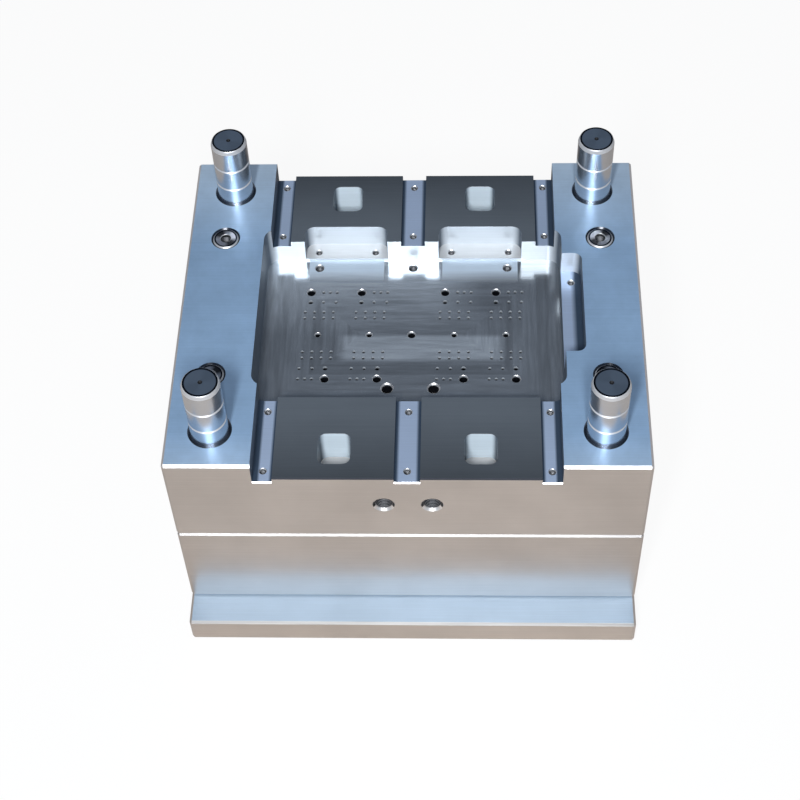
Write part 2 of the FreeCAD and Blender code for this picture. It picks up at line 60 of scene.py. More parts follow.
NOTCH_END = 52.0 * MM
CORNER_REACH = 3.0 * MM         # how far the broken corners of the plate reach in
GUIDE_HOLE_REACH = 17.0 * MM
RETURN_HOLE_REACH = 12.0 * MM
PATCH_X, PATCH_Y = 8.0 * MM, -13.0 * MM     # middle of the recut patch in the floor
TOOL_STEP = 9.5 * MM            # between passes of the end mill
M6_THREAD = (2.5 * MM, 1.0 * MM)        # radius of the tapping hole, and pitch
M8_THREAD = (3.4 * MM, 1.25 * MM)
M8_IN_PIN = (4.0 * MM, 1.25 * MM)
M16_THREAD = (7.0 * MM, 2.0 * MM)
PIPE_THREAD = (6.6 * MM, 1.34 * MM)
THREAD_START = 2.4 * MM         # threads start below the plain mouth of the hole


def pin_axis(node):
    """Centre line of a pin, as x, y and 0."""
    low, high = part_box(node)
    return ((low[0] + high[0]) / 2, (low[1] + high[1]) / 2, 0.0)


GUIDE_AXIS = pin_axis("guide_pin_back_right")
RETURN_AXIS = pin_axis("return_pin_back_right")
HOLE_GAP = 0.02 * MM            # thread pieces stand this far inside their holes
LEVEL_BAND = 0.4 * MM


# ------------------------------------------------------------------ colours
def tone(red, green, blue):
    """A colour as a maker's chart gives it, 0 to 255, as the shader wants it."""
    def straight(value):
        share = value / 255
        return share / 12.92 if share <= 0.04045 else ((share + 0.055) / 1.055) ** 2.4
    return (straight(red), straight(green), straight(blue), 1.0)


# The bluish tone of the upward ground faces is a painted reflection of the sky.
TOP_GROUND_SKY_TINT = tone(152, 182, 214)
# Painted light: the plate's top is lighter towards its back and front edges.
TOP_PAINTED_LIGHT = tone(206, 222, 236)
SIDE_GROUND = tone(205, 202, 200)
# Painted highlight on the chamfers of the B plate.
CHAMFER_PAINTED_HIGHLIGHT = tone(240, 238, 238)
# Painted highlight along the broken edges of the ground blocks and plates.
EDGE_PAINTED_HIGHLIGHT = tone(208, 207, 208)
SLIDE_GROUND = tone(152, 160, 168)
# Painted shade on the chamfers at the ends of the slide floors.
SLIDE_EDGE_PAINTED_SHADE = tone(46, 50, 60)
# Gib seats and notch: painted light along the middle, painted shade beside the walls and step.
GIB_PAINTED_LIGHT = tone(190, 208, 236)
GIB_PAINTED_SHADE = tone(70, 86, 106)
FLOOR_MILLED = tone(204, 208, 212)
FLOOR_BRIGHT = tone(236, 244, 252)
FLOOR_RECUT = tone(206, 222, 238)
WALL_MILLED = tone(206, 214, 222)
# Painted shade on the pocket walls that face along x.
WALL_SIDE_PAINTED_SHADE = tone(76, 88, 102)
# Painted light on the walls of the relief pockets.
RELIEF_WALL_PAINTED_LIGHT = tone(226, 240, 250)
RECESS_MILLED = tone(220, 222, 224)
HOLE_MOUTH = tone(214, 220, 228)
# Painted shade deep in the holes.
HOLE_PAINTED_SHADE = tone(16, 18, 24)
# Painted shade in the hole mouths round the guide pins.
PIN_HOLE_PAINTED_SHADE = tone(150, 156, 166)
# The bluish tone of the clamp plate's top is a painted reflection of the sky.
CLAMP_TOP_SKY_TINT = tone(170, 188, 206)
PIN_POLISHED = tone(206, 212, 220)
PIN_END = tone(196, 210, 224)
# Painted shade: the dark rim of the pin ends and the hole mouths round the return pins.
PIN_RIM_PAINTED_SHADE = tone(30, 38, 52)
RETURN_END = tone(226, 226, 232)
PIN_BREAK = tone(208, 210, 214)
# Painted shade in the centre hole of the pin ends.
CENTRE_PAINTED_SHADE = tone(14, 16, 22)
EJECTOR_GROUND = tone(168, 172, 178)
BUTTON_HARD = tone(120, 118, 120)
SCREW_BLACK = tone(46, 46, 50)
# Near black: painted shade in the tapped holes.
THREAD_PAINTED_SHADE = tone(44, 48, 56)
# Painted highlight on the edges of buttons, screws and threads.
SMALL_EDGE_PAINTED_HIGHLIGHT = tone(225, 225, 228)
TABLE_BEIGE = tone(214, 200, 188)
ROOM_DIM = tone(84, 93, 106)
ROOM_WALL = tone(186, 190, 196)


# ------------------------------------------------------------------ node tree helpers
class Tree:
    """A node tree with short calls to add and join nodes."""

    def __init__(self, tree):
        self.tree = tree

    def node(self, kind, **settings):
        made = self.tree.nodes.new(kind)
        for key, value in settings.items():
            setattr(made, key, value)
        return made

    def join(self, source, target):
        self.tree.links.new(source, target)

    def feed(self, socket, value):
        if isinstance(value, bpy.types.NodeSocket):
            self.join(value, socket)
        else:
            socket.default_value = value

    def maths(self, operation, first, second=None, third=None, clamp=False):
        made = self.node("ShaderNodeMath", operation=operation, use_clamp=clamp)
        for index, value in enumerate((first, second, third)):
            if value is not None:
                self.feed(made.inputs[index], value)
        return made.outputs[0]

    def vector(self, operation, first, second=None):
        made = self.node("ShaderNodeVectorMath", operation=operation)
        self.feed(made.inputs[0], first)
        if second is not None:
            self.feed(made.inputs[1], second)
        return made.outputs[1] if operation in ("LENGTH", "DOT_PRODUCT") else made.outputs[0]

    def split(self, vector):
        made = self.node("ShaderNodeSeparateXYZ")
        self.join(vector, made.inputs[0])
        return made.outputs

    def merge(self, x, y, z):
        made = self.node("ShaderNodeCombineXYZ")
        for index, value in enumerate((x, y, z)):
            self.feed(made.inputs[index], value)
        return made.outputs[0]

    def ramp(self, value, low, high, to_low=0.0, to_high=1.0):
        made = self.node("ShaderNodeMapRange")
        for name, given in (("Value", value), ("From Min", low), ("From Max", high),
                            ("To Min", to_low), ("To Max", to_high)):
            self.feed(made.inputs[name], given)
        return made.outputs[0]

    def band(self, value, low, high):
        """1 where the value lies between two limits."""
        return self.maths("COMPARE", value, (low + high) / 2, (high - low) / 2)

    def scale(self, colour, level):
        """The colour times a level that changes over the surface."""
        return self.mix(1.0, colour, self.merge(level, level, level), "MULTIPLY")

    def mix(self, share, first, second, blend="MIX"):
        made = self.node("ShaderNodeMix", data_type="RGBA", blend_type=blend)
        self.feed(made.inputs[0], share)
        self.feed(made.inputs[6], first)
        self.feed(made.inputs[7], second)
        return made.outputs[2]

    def noise(self, vector, scale, detail=2.0, roughness=0.5):
        made = self.node("ShaderNodeTexNoise")
        self.feed(made.inputs["Vector"], vector)
        self.feed(made.inputs["Scale"], scale)
        made.inputs["Detail"].default_value = detail
        made.inputs["Roughness"].default_value = roughness
        return made.outputs[0]

    def use(self, group, **values):
        made = self.node("ShaderNodeGroup")
        made.node_tree = group
        for name, value in values.items():
            self.feed(made.inputs[name.replace("_", " ")], value)
        return made.outputs


def new_group(name, inputs, outputs):
    """A shader node group; inputs are (name, kind, default), outputs (name, kind)."""
    group = bpy.data.node_groups.new(name, "ShaderNodeTree")
    for label, kind, default in inputs:
        socket = group.interface.new_socket(label, in_out="INPUT", socket_type="NodeSocket" + kind)
        socket.default_value = default
    for label, kind in outputs:
        group.interface.new_socket(label, in_out="OUTPUT", socket_type="NodeSocket" + kind)
    tree = Tree(group)
    return group, tree, tree.node("NodeGroupInput").outputs, tree.node("NodeGroupOutput").inputs


# ------------------------------------------------------------------ shared effects
def level_group():
    """Mask of the upward faces at one height of the part."""
    group, t, given, out = new_group("upward_level", [("Level", "Float", 0.0)], [("Mask", "Float")])
    coords = t.node("ShaderNodeTexCoord").outputs
    height = t.split(coords["Object"])[2]
    off = t.maths("ABSOLUTE", t.maths("SUBTRACT", height, given["Level"]))
    near = t.maths("LESS_THAN", off, LEVEL_BAND)
    facing = t.maths("GREATER_THAN", t.split(coords["Normal"])[2], 0.75)
    t.join(t.maths("MULTIPLY", near, facing), out["Mask"])
    return group


def grinding_group():
    """Fine parallel lines left by the grinding wheel, and slow patches across a face."""
    group, t, given, out = new_group(
        "grinding_lines",
        [("Lines", "Float", 900.0), ("Length", "Float", 10.0)],
        [("Lines", "Float"), ("Patches", "Float")])
    coords = t.node("ShaderNodeTexCoord").outputs
    x, y, z = t.split(coords["Object"])
    end_face = t.maths("GREATER_THAN", t.maths("ABSOLUTE", t.split(coords["Normal"])[0]), 0.7)
    along = t.node("ShaderNodeMix", data_type="FLOAT")
    t.join(end_face, along.inputs[0])
    t.join(x, along.inputs[2])
    t.join(y, along.inputs[3])
    across = t.maths("ADD", z, t.maths("MULTIPLY", y, t.maths("SUBTRACT", 1.0, end_face)))
    stretched = t.merge(t.maths("MULTIPLY", along.outputs[0], given["Length"]),
                        t.maths("MULTIPLY", across, given["Lines"]), 0.0)
    t.join(t.noise(stretched, 1.0, 3.0, 0.6), out["Lines"])
    t.join(t.noise(coords["Object"], 14.0, 3.0, 0.55), out["Patches"])
    return group


def milling_group():
    """Passes of an end mill that follows the pocket's outline inwards, with its cusps."""
    group, t, given, out = new_group(
        "milling_passes",
        [("Half Length", "Float", 0.1), ("Half Width", "Float", 0.1), ("Step", "Float", 0.01)],
        [("Tone", "Float"), ("Cusps", "Float"), ("Streaks", "Float")])
    coords = t.node("ShaderNodeTexCoord").outputs
    x, y, _ = t.split(coords["Object"])
    from_end = t.maths("SUBTRACT", given["Half Length"], t.maths("ABSOLUTE", x))
    from_side = t.maths("SUBTRACT", given["Half Width"], t.maths("ABSOLUTE", y))
    depth = t.maths("MINIMUM", from_end, from_side)
    turns = t.maths("DIVIDE", depth, given["Step"])
    wobble = t.maths("MULTIPLY", t.noise(coords["Object"], 60.0, 2.0), 0.12)
    phase = t.maths("MULTIPLY", t.maths("ADD", turns, wobble), math.tau)
    t.join(t.maths("MULTIPLY_ADD", t.maths("SINE", phase), 0.5, 0.5), out["Cusps"])
    each = t.maths("FLOOR", turns)
    white = t.node("ShaderNodeTexWhiteNoise", noise_dimensions="1D")
    t.join(each, white.inputs["W"])
    t.join(white.outputs["Value"], out["Tone"])
    ends = t.maths("LESS_THAN", from_end, from_side)
    fine, coarse = 260.0, 22.0
    lengthwise, crosswise = (
        t.noise(t.vector("MULTIPLY", coords["Object"], stretch), 1.0, 4.0, 0.65)
        for stretch in ((coarse, fine, 0.0), (fine, coarse, 0.0)))
    streaks = t.node("ShaderNodeMix", data_type="FLOAT")
    t.join(ends, streaks.inputs[0])
    t.join(lengthwise, streaks.inputs[2])
    t.join(crosswise, streaks.inputs[3])
    t.join(streaks.outputs[0], out["Streaks"])
    return group


def edge_highlight_group():
    """Mask of the broken edges, where a painted highlight goes."""
    group, t, given, out = new_group("edge_painted_highlight", [("Width", "Float", 0.0008)], [("Mask", "Float")])
    bevel = t.node("ShaderNodeBevel", samples=6)
    t.join(given["Width"], bevel.inputs["Radius"])
    geometry = t.node("ShaderNodeNewGeometry").outputs
    same = t.vector("DOT_PRODUCT", bevel.outputs[0], geometry["Normal"])
    t.join(t.ramp(same, 0.995, 0.90), out["Mask"])
    return group


def turning_group():
    """Rings that a lathe leaves round the four pins of a set, one pin in each quarter."""
    group, t, given, out = new_group(
        "turned_rings", [("Centre", "Vector", (0, 0, 0)), ("Pitch", "Float", 0.0005)],
        [("Rings", "Float"), ("Radius", "Float")])
    coords = t.node("ShaderNodeTexCoord").outputs
    quarter = t.vector("ABSOLUTE", coords["Object"])
    x, y, _ = t.split(t.vector("SUBTRACT", quarter, given["Centre"]))
    radius = t.vector("LENGTH", t.merge(x, y, 0.0))
    phase = t.maths("MULTIPLY", t.maths("DIVIDE", radius, given["Pitch"]), math.tau)
    t.join(t.maths("MULTIPLY_ADD", t.maths("SINE", phase), 0.5, 0.5), out["Rings"])
    t.join(radius, out["Radius"])
    return group


LEVEL = level_group()
GRINDING = grinding_group()
MILLING = milling_group()
EDGE_HIGHLIGHT_MASK = edge_highlight_group()
TURNING = turning_group()


# ------------------------------------------------------------------ materials
def new_steel(name, roughness, metallic=1.0):
    """A material with one Principled shader; returns it, its tree and the shader's inputs."""
    made = bpy.data.materials.new(name)
    made.use_nodes = True
    tree = Tree(made.node_tree)
    shader = made.node_tree.nodes["Principled BSDF"]
    shader.inputs["Metallic"].default_value = metallic
    shader.inputs["Roughness"].default_value = roughness
    return made, tree, shader.inputs


def finish_bump(tree, inputs, height, strength, distance):
    bump = tree.node("ShaderNodeBump")
    bump.inputs["Strength"].default_value = strength
    bump.inputs["Distance"].default_value = distance
    tree.join(height, bump.inputs["Height"])
    tree.join(bump.outputs[0], inputs["Normal"])


def ground_steel(name, colour, top, roughness=0.34, lines=900.0, top_metal=0.3):
    """Ground block or plate: one tone on its sides, and another on its upward faces,
    where a bluish tone is a painted reflection of the sky.
    """
    made, t, inputs = new_steel(name, roughness)
    coords = t.node("ShaderNodeTexCoord").outputs
    grain, patches = t.use(GRINDING, Lines=lines)
    upward = t.maths("GREATER_THAN", t.split(coords["Normal"])[2], 0.9)
    shade = t.mix(upward, colour, top)
    shade = t.scale(shade, t.ramp(patches, 0.3, 0.7, 0.92, 1.05))
    shade = t.scale(shade, t.ramp(grain, 0.3, 0.7, 0.94, 1.04))
    # Painted highlight along the broken edges.
    shade = t.mix(t.use(EDGE_HIGHLIGHT_MASK)[0], shade, EDGE_PAINTED_HIGHLIGHT)
    t.join(shade, inputs["Base Color"])
    rough = t.ramp(grain, 0.2, 0.8, roughness - 0.06, roughness + 0.08)
    t.join(t.maths("MULTIPLY_ADD", upward, 0.14, rough), inputs["Roughness"])
    t.join(t.ramp(upward, 0.0, 1.0, 1.0, top_metal), inputs["Metallic"])
    finish_bump(t, inputs, grain, 0.12, 0.00005)
    return made


def stack(tree, first, layers):
    """Blend values over one another, each with its own mask."""
    value = first
    for mask, given in layers:
        value = tree.maths("MULTIPLY_ADD", mask, tree.maths("SUBTRACT", given, value), value)
    return value


def hole_levels(t, x, y):
    """The level that holes start from in each part of the B plate."""
    across, along = t.maths("ABSOLUTE", x), t.maths("ABSOLUTE", y)
    slide_end = t.maths("GREATER_THAN", along, POCKET_Y)
    on_gib = t.maths("MAXIMUM", t.maths("LESS_THAN", across, MIDDLE_GIB),
                     t.maths("GREATER_THAN", across, WAY_X - OUTER_GIB))
    recess = t.maths("MULTIPLY", t.band(across, SLIDE_X - HEEL_HALF, SLIDE_X + HEEL_HALF),
                     t.band(y, POCKET_Y, POCKET_Y + HEEL_REACH))
    relief = t.maths("MULTIPLY", t.band(across, SLIDE_X - RELIEF_HALF, SLIDE_X + RELIEF_HALF),
                     t.band(along, RELIEF_NEAR, RELIEF_FAR))
    notch = t.maths("MULTIPLY", t.maths("GREATER_THAN", x, POCKET_X),
                    t.maths("LESS_THAN", along, NOTCH_END))
    level = stack(t, POCKET_FLOOR, ((t.maths("MULTIPLY", slide_end, on_gib), GIB_LEVEL),
                                    (recess, HEEL_LEVEL), (relief, 0.0), (notch, NOTCH_LEVEL)))
    return level, relief


def gib_light_and_shade(t, across):
    """Gib seat: painted light along its middle, painted shade beside the walls and the step."""
    wall_side = t.ramp(across, WAY_X - 5.2 * MM, WAY_X - 3.4 * MM)
    outer_step = t.ramp(across, WAY_X - OUTER_GIB + 3.0 * MM, WAY_X - OUTER_GIB + 1.2 * MM)
    outer = t.maths("MAXIMUM", wall_side, outer_step)
    middle = t.ramp(across, MIDDLE_GIB - 3.6 * MM, MIDDLE_GIB - 1.6 * MM)
    is_middle = t.maths("LESS_THAN", across, MIDDLE_GIB + MM)
    return stack(t, outer, ((is_middle, middle),))


def floor_tone(t, x, y, tone_step, streaks):
    """Pocket floor: tool paths, a recut patch in the middle and one before each recess."""
    shade = t.scale(FLOOR_MILLED, t.ramp(tone_step, 0.0, 1.0, 0.86, 1.10))
    rag = t.maths("MULTIPLY", t.maths("SUBTRACT", streaks, 0.5), 16.0 * MM)
    off_x = t.maths("ABSOLUTE", t.maths("SUBTRACT", x, PATCH_X))
    off_y = t.maths("ABSOLUTE", t.maths("SUBTRACT", y, PATCH_Y))
    patch = t.maths("MULTIPLY", t.ramp(off_x, 66 * MM, 58 * MM), t.ramp(off_y, 14 * MM, 10 * MM))
    haze = t.maths("MULTIPLY", t.ramp(t.maths("ADD", y, rag), 0.0, 55 * MM),
                   t.ramp(t.maths("ADD", x, rag), 55 * MM, 20 * MM))
    light = t.maths("MAXIMUM", t.maths("MULTIPLY", patch, 0.8), haze)
    shade = t.mix(light, shade, FLOOR_BRIGHT)
    return t.scale(shade, t.ramp(streaks, 0.25, 0.75, 0.74, 1.24)), light


def plate_steel():
    """B plate: each machined level has its own finish, with painted light and shade over several of
    them.
    """
    made, t, inputs = new_steel("b_plate_steel", 0.34)
    coords = t.node("ShaderNodeTexCoord").outputs
    x, y, z = t.split(coords["Object"])
    across, along = t.maths("ABSOLUTE", x), t.maths("ABSOLUTE", y)
    _, normal_y, normal_z = t.split(coords["Normal"])
    grain, patches = t.use(GRINDING)
    tone_step, cusps, streaks = t.use(MILLING, Half_Length=POCKET_X, Half_Width=POCKET_Y,
                                      Step=TOOL_STEP)
    upright = t.maths("LESS_THAN", t.maths("ABSOLUTE", normal_z), 0.3)
    slanted = t.band(t.maths("ABSOLUTE", normal_z), 0.3, 0.95)
    outer_x = t.maths("GREATER_THAN", across, PLATE_HIGH[0] - 0.3 * MM)
    outer_y = t.maths("GREATER_THAN", along, PLATE_HIGH[1] - 0.3 * MM)
    corner = t.maths("MULTIPLY", t.maths("GREATER_THAN", across, PLATE_HIGH[0] - CORNER_REACH),
                     t.maths("GREATER_THAN", along, PLATE_HIGH[1] - CORNER_REACH))
    outside = t.maths("MAXIMUM", corner, t.maths("MAXIMUM", outer_x, outer_y))
    inner = t.maths("SUBTRACT", upright, outside, clamp=True)
    top, slide, gib, floor, heel, notch = (
        t.use(LEVEL, Level=level)[0]
        for level in (PARTING, SLIDE_LEVEL, GIB_LEVEL, POCKET_FLOOR, HEEL_LEVEL, NOTCH_LEVEL))
    hole_level, in_relief = hole_levels(t, x, y)
    depth = t.maths("SUBTRACT", hole_level, z)
    drilled = t.maths("MULTIPLY", inner, t.maths("GREATER_THAN", depth, 0.2 * MM))
    relief = t.maths("MULTIPLY", in_relief, t.maths("LESS_THAN", z, SLIDE_LEVEL - 0.5 * MM))
    # Painted shade on the chamfers at the ends of the slide floors.
    slide_edge = t.maths("MULTIPLY", slanted, t.band(z, SLIDE_LEVEL - 1.2 * MM, SLIDE_LEVEL))
    at_end = t.maths("GREATER_THAN", along, PLATE_HIGH[1] - CORNER_REACH)
    slide_edge = t.maths("MULTIPLY", slide_edge, at_end)
    # Painted shade in the hole mouths round the pins: grey at guide pins, near black at return
    # pins.
    near_guide = t.maths("LESS_THAN", t.use(TURNING, Centre=GUIDE_AXIS)[1], GUIDE_HOLE_REACH)
    near_return = t.maths("LESS_THAN", t.use(TURNING, Centre=RETURN_AXIS)[1], RETURN_HOLE_REACH)
    pin_hole = t.maths("MULTIPLY", t.maths("MAXIMUM", near_guide, near_return),
                       t.maths("SUBTRACT", 1.0, top))
    # Painted shade: walls facing along x are dark, walls facing along y light.
    wall_across = t.ramp(t.maths("ABSOLUTE", normal_y), 0.55, 0.95)
    # Painted light: the relief walls are lighter than the other walls.
    wall = t.mix(wall_across, WALL_SIDE_PAINTED_SHADE, t.mix(relief, WALL_MILLED, RELIEF_WALL_PAINTED_LIGHT))
    # Painted shade: the slide floors darken towards the plate's ends.
    slide_shade = t.scale(SLIDE_GROUND, t.ramp(along, 92 * MM, 150 * MM, 1.0, 0.52))
    milled, light = floor_tone(t, x, y, tone_step, streaks)
    recut = t.maths("MULTIPLY", t.ramp(y, 52 * MM, 66 * MM),
                    t.band(across, SLIDE_X - HEEL_HALF + 3 * MM, SLIDE_X + HEEL_HALF - 3 * MM))
    # Painted shade: the notch darkens towards its outer end.
    notch_shade = t.mix(t.ramp(x, POCKET_X + 7 * MM, POCKET_X + 11 * MM), GIB_PAINTED_LIGHT, GIB_PAINTED_SHADE)
    mottle = t.noise(coords["Object"], 45.0, 4.0, 0.65)
    # Painted light: the top gets lighter towards its back and front edges.
    toward_back = t.ramp(y, 60 * MM, 165 * MM, 0.0, 0.75)
    toward_edge = t.maths("MAXIMUM", toward_back, t.ramp(y, -120 * MM, -172 * MM, 0.0, 0.5))
    top_shade = t.mix(toward_edge, TOP_GROUND_SKY_TINT, TOP_PAINTED_LIGHT)
    top_shade = t.scale(top_shade, t.ramp(mottle, 0.3, 0.7, 0.93, 1.07))
    shade = SIDE_GROUND
    for mask, colour in ((slanted, CHAMFER_PAINTED_HIGHLIGHT), (top, top_shade), (slide, slide_shade),
                         (gib, t.mix(gib_light_and_shade(t, across), GIB_PAINTED_LIGHT, GIB_PAINTED_SHADE)),
                         (floor, t.mix(recut, milled, FLOOR_RECUT)), (heel, RECESS_MILLED),
                         (notch, notch_shade), (inner, wall),
                         # Painted shade: the holes darken with depth below their mouths.
                         (drilled, t.mix(t.ramp(depth, 0.6 * MM, 2.5 * MM), HOLE_MOUTH, HOLE_PAINTED_SHADE)),
                         (slide_edge, SLIDE_EDGE_PAINTED_SHADE),
                         (pin_hole, t.mix(near_return, PIN_HOLE_PAINTED_SHADE, PIN_RIM_PAINTED_SHADE))):
        shade = t.mix(mask, shade, colour)
    shade = t.scale(shade, t.ramp(patches, 0.3, 0.7, 0.93, 1.06))
    shade = t.scale(shade, t.ramp(grain, 0.3, 0.7, 0.96, 1.04))
    t.join(shade, inputs["Base Color"])
    rough = stack(t, t.ramp(grain, 0.2, 0.8, 0.34, 0.44),
                  ((slide, 0.32), (floor, 0.18), (inner, 0.4), (heel, 0.35), (notch, 0.3),
                   (slide_edge, 0.8), (pin_hole, 0.22)))
    t.join(rough, inputs["Roughness"])
    bright = t.maths("MAXIMUM", recut, t.maths("MULTIPLY", light, 0.2))
    floor_metal = t.ramp(bright, 0.0, 1.0, 0.9, 0.15)
    hole_metal = t.ramp(near_return, 0.0, 1.0, 1.0, 0.2)
    metal = stack(t, 0.97, ((top, 0.3), (slide, 0.75), (gib, 0.45), (floor, floor_metal),
                            (heel, 0.3), (notch, 0.5), (inner, 0.25), (relief, 0.0),
                            (slide_edge, 0.0), (pin_hole, hole_metal)))
    t.join(metal, inputs["Metallic"])
    height = t.maths("ADD", t.maths("MULTIPLY", grain, 0.35), t.maths("MULTIPLY", cusps, floor))
    finish_bump(t, inputs, height, 0.10, 0.00005)
    return made


def pin_steel(name, axis, rim, hole, end_colour, ring_depth, highlight_depth):
    """Hardened pin: polished shank, and a turned end face with a painted dark rim, a centre hole
    in painted shade and two bright sectors of painted highlight."""
    made, t, inputs = new_steel(name, 0.15)
    coords = t.node("ShaderNodeTexCoord").outputs
    z = t.split(coords["Object"])[2]
    lean = t.split(coords["Normal"])[2]
    rings, radius = t.use(TURNING, Centre=axis, Pitch=0.8 * MM)
    upward = t.maths("GREATER_THAN", lean, 0.95)
    broken = t.maths("MULTIPLY", t.maths("GREATER_THAN", lean, 0.12),
                     t.maths("SUBTRACT", 1.0, upward))
    in_hole = t.maths("LESS_THAN", radius, hole)
    quarter = t.vector("SUBTRACT", t.vector("ABSOLUTE", coords["Object"]), axis)
    across = t.vector("DOT_PRODUCT", quarter, (-0.5 ** 0.5, 0.5 ** 0.5, 0.0))
    sector = t.maths("ABSOLUTE", t.maths("DIVIDE", across, radius))
    # Painted highlight: two bright sectors on the turned end face.
    bow_tie_highlight = t.ramp(sector, 0.35, 0.8, 1.0 - highlight_depth, 1.0)
    # Painted shade: dark rim round the end face.
    end = t.mix(t.ramp(radius, rim - 0.5 * MM, rim), t.scale(end_colour, bow_tie_highlight), PIN_RIM_PAINTED_SHADE)
    shade = t.mix(broken, t.mix(upward, PIN_POLISHED, end), PIN_BREAK)
    lap = t.noise(t.merge(0.0, 0.0, z), 420.0, 3.0, 0.6)
    shade = t.scale(shade, t.ramp(lap, 0.3, 0.7, 0.92, 1.04))
    # Painted shade: the centre hole of the end face is near black.
    t.join(t.mix(in_hole, shade, CENTRE_PAINTED_SHADE), inputs["Base Color"])
    rough = t.ramp(lap, 0.2, 0.8, 0.2, 0.3)
    t.join(stack(t, rough, ((upward, 0.3), (broken, 0.42), (in_hole, 0.7))), inputs["Roughness"])
    t.join(stack(t, 1.0, ((broken, 0.5), (in_hole, 0.0))), inputs["Metallic"])
    ring_mark = t.maths("MULTIPLY", rings, t.maths("MULTIPLY", upward, ring_depth))
    finish_bump(t, inputs, t.maths("ADD", t.maths("MULTIPLY", lap, 0.3), ring_mark), 0.12, 0.00004)
    return made


def small_steel(name, colour, roughness):
    """Buttons, screws and cut threads: one tone with a fine mottle and a painted highlight on the
    edges.
    """
    made, t, inputs = new_steel(name, roughness)
    coords = t.node("ShaderNodeTexCoord").outputs
    speck = t.noise(coords["Object"], 1500.0, 2.0, 0.5)
    shade = t.scale(colour, t.ramp(speck, 0.3, 0.7, 0.85, 1.1))
    # Painted highlight on the edges.
    shade = t.mix(t.maths("MULTIPLY", t.use(EDGE_HIGHLIGHT_MASK, Width=0.4 * MM)[0], 0.5), shade, SMALL_EDGE_PAINTED_HIGHLIGHT)
    t.join(shade, inputs["Base Color"])
    t.join(t.ramp(speck, 0.2, 0.8, roughness - 0.05, roughness + 0.08), inputs["Roughness"])
    finish_bump(t, inputs, speck, 0.08, 0.00003)
    return made


def dress(material, *nodes):
    """Give the material to every slot of the nodes."""
    for node in nodes:
        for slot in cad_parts[node].material_slots:
            slot.material = material


CORNER_NAMES = ("front_left", "front_right", "back_left", "back_right")
guide_steel = pin_steel("guide_pin_steel", GUIDE_AXIS, rim=11.4 * MM, hole=1.7 * MM,
                        end_colour=PIN_END, ring_depth=1.0, highlight_depth=0.12)
return_steel = pin_steel("return_pin_steel", RETURN_AXIS, rim=8.0 * MM, hole=4.1 * MM,
                         end_colour=RETURN_END, ring_depth=14.0, highlight_depth=0.9)
button_steel = small_steel("stop_button_steel", BUTTON_HARD, 0.35)
screw_black = small_steel("screw_black_oxide", SCREW_BLACK, 0.42)
# Near black threads: painted shade in the holes.
thread_steel = small_steel("cut_thread_steel", THREAD_PAINTED_SHADE, 0.6)
dress(plate_steel(), "b_plate")
dress(ground_steel("clamp_plate_steel", SIDE_GROUND, CLAMP_TOP_SKY_TINT), "clamp_plate")
dress(ground_steel("spacer_block_steel", SIDE_GROUND, SIDE_GROUND),
      "spacer_block_front", "spacer_block_back")
dress(ground_steel("ejector_plate_steel", EJECTOR_GROUND, TOP_GROUND_SKY_TINT, 0.38, 700.0),
      "ejector_retainer_plate", "ejector_base_plate")
for corner in CORNER_NAMES:
    dress(guide_steel, "guide_pin_" + corner)
    dress(return_steel, "return_pin_" + corner)
    dress(button_steel, "stop_button_" + corner)
dress(screw_black, "main_clamp_screws", "spacer_block_screws", "ejector_plate_screws",
      "stop_button_screws")


# ------------------------------------------------------------------ threads in the open holes
STEPS_PER_TURN = 28


def thread_ridge(mesh, mouth, inward, radius, pitch, length):
    """One turned ridge along a hole, as a swept triangle with closed ends."""
    axis = Vector(inward).normalized()
    side = axis.orthogonal().normalized()
    other = axis.cross(side)
    steps = int(STEPS_PER_TURN * length / pitch)
    crest = radius - 0.54 * pitch
    foot = 0.42 * pitch
    rings = []
    for k in range(steps + 1):
        angle = math.tau * k / STEPS_PER_TURN
        out = side * math.cos(angle) + other * math.sin(angle)
        base = Vector(mouth) + axis * (pitch * k / STEPS_PER_TURN + foot)
        ring = [mesh.verts.new(base + out * radius - axis * foot),
                mesh.verts.new(base + out * crest),
                mesh.verts.new(base + out * radius + axis * foot)]
        rings.append(ring)
    for a, b in zip(rings, rings[1:]):
        for i in range(3):
            j = (i + 1) % 3
            mesh.faces.new((a[i], a[j], b[j], b[i]))
    mesh.faces.new(rings[0][::-1])
    mesh.faces.new(rings[-1])


def threads(name, holes, size, length, body="frame"):
    """Threads of one size in several holes, as one piece; holes are (mouth, inward)."""
    radius, pitch = size
    mesh = bmesh.new()
    for mouth, inward in holes:
        thread_ridge(mesh, mouth, inward, radius - HOLE_GAP, pitch, length)
    bmesh.ops.recalc_face_normals(mesh, faces=mesh.faces)
    data = bpy.data.meshes.new(name)
    mesh.to_mesh(data)
    mesh.free()
    piece = bpy.data.objects.new(name, data)
    bpy.context.scene.collection.objects.link(piece)
    data.materials.append(thread_steel)
    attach(piece, body)
    return piece


DOWN = (0, 0, -1)
SIDES = (-1, 1)
gib_x = WAY_X - OUTER_GIB / 2
gib_rows = (POCKET_Y + 10.0 * MM, PLATE_HIGH[1] - 10.0 * MM)
gib_top = GIB_LEVEL - THREAD_START
gib_mouths = [((x, side * y, gib_top), DOWN)
              for x in (-gib_x, 0, gib_x) for y in gib_rows for side in SIDES]
threads("gib_hole_threads", gib_mouths, M6_THREAD, 10 * MM)
heel_y, heel_top = POCKET_Y + 6.3 * MM, HEEL_LEVEL - THREAD_START
heel_mouths = [((side * SLIDE_X + end * 22.8 * MM, heel_y, heel_top), DOWN)
               for side in SIDES for end in SIDES]
threads("heel_hole_threads", heel_mouths, M6_THREAD, 10 * MM)
wall_y, wall_top = POCKET_Y - 8.6 * MM, POCKET_FLOOR - THREAD_START
wall_mouths = [((k * 75 * MM, wall_y, wall_top), DOWN) for k in (-1, 0, 1)]
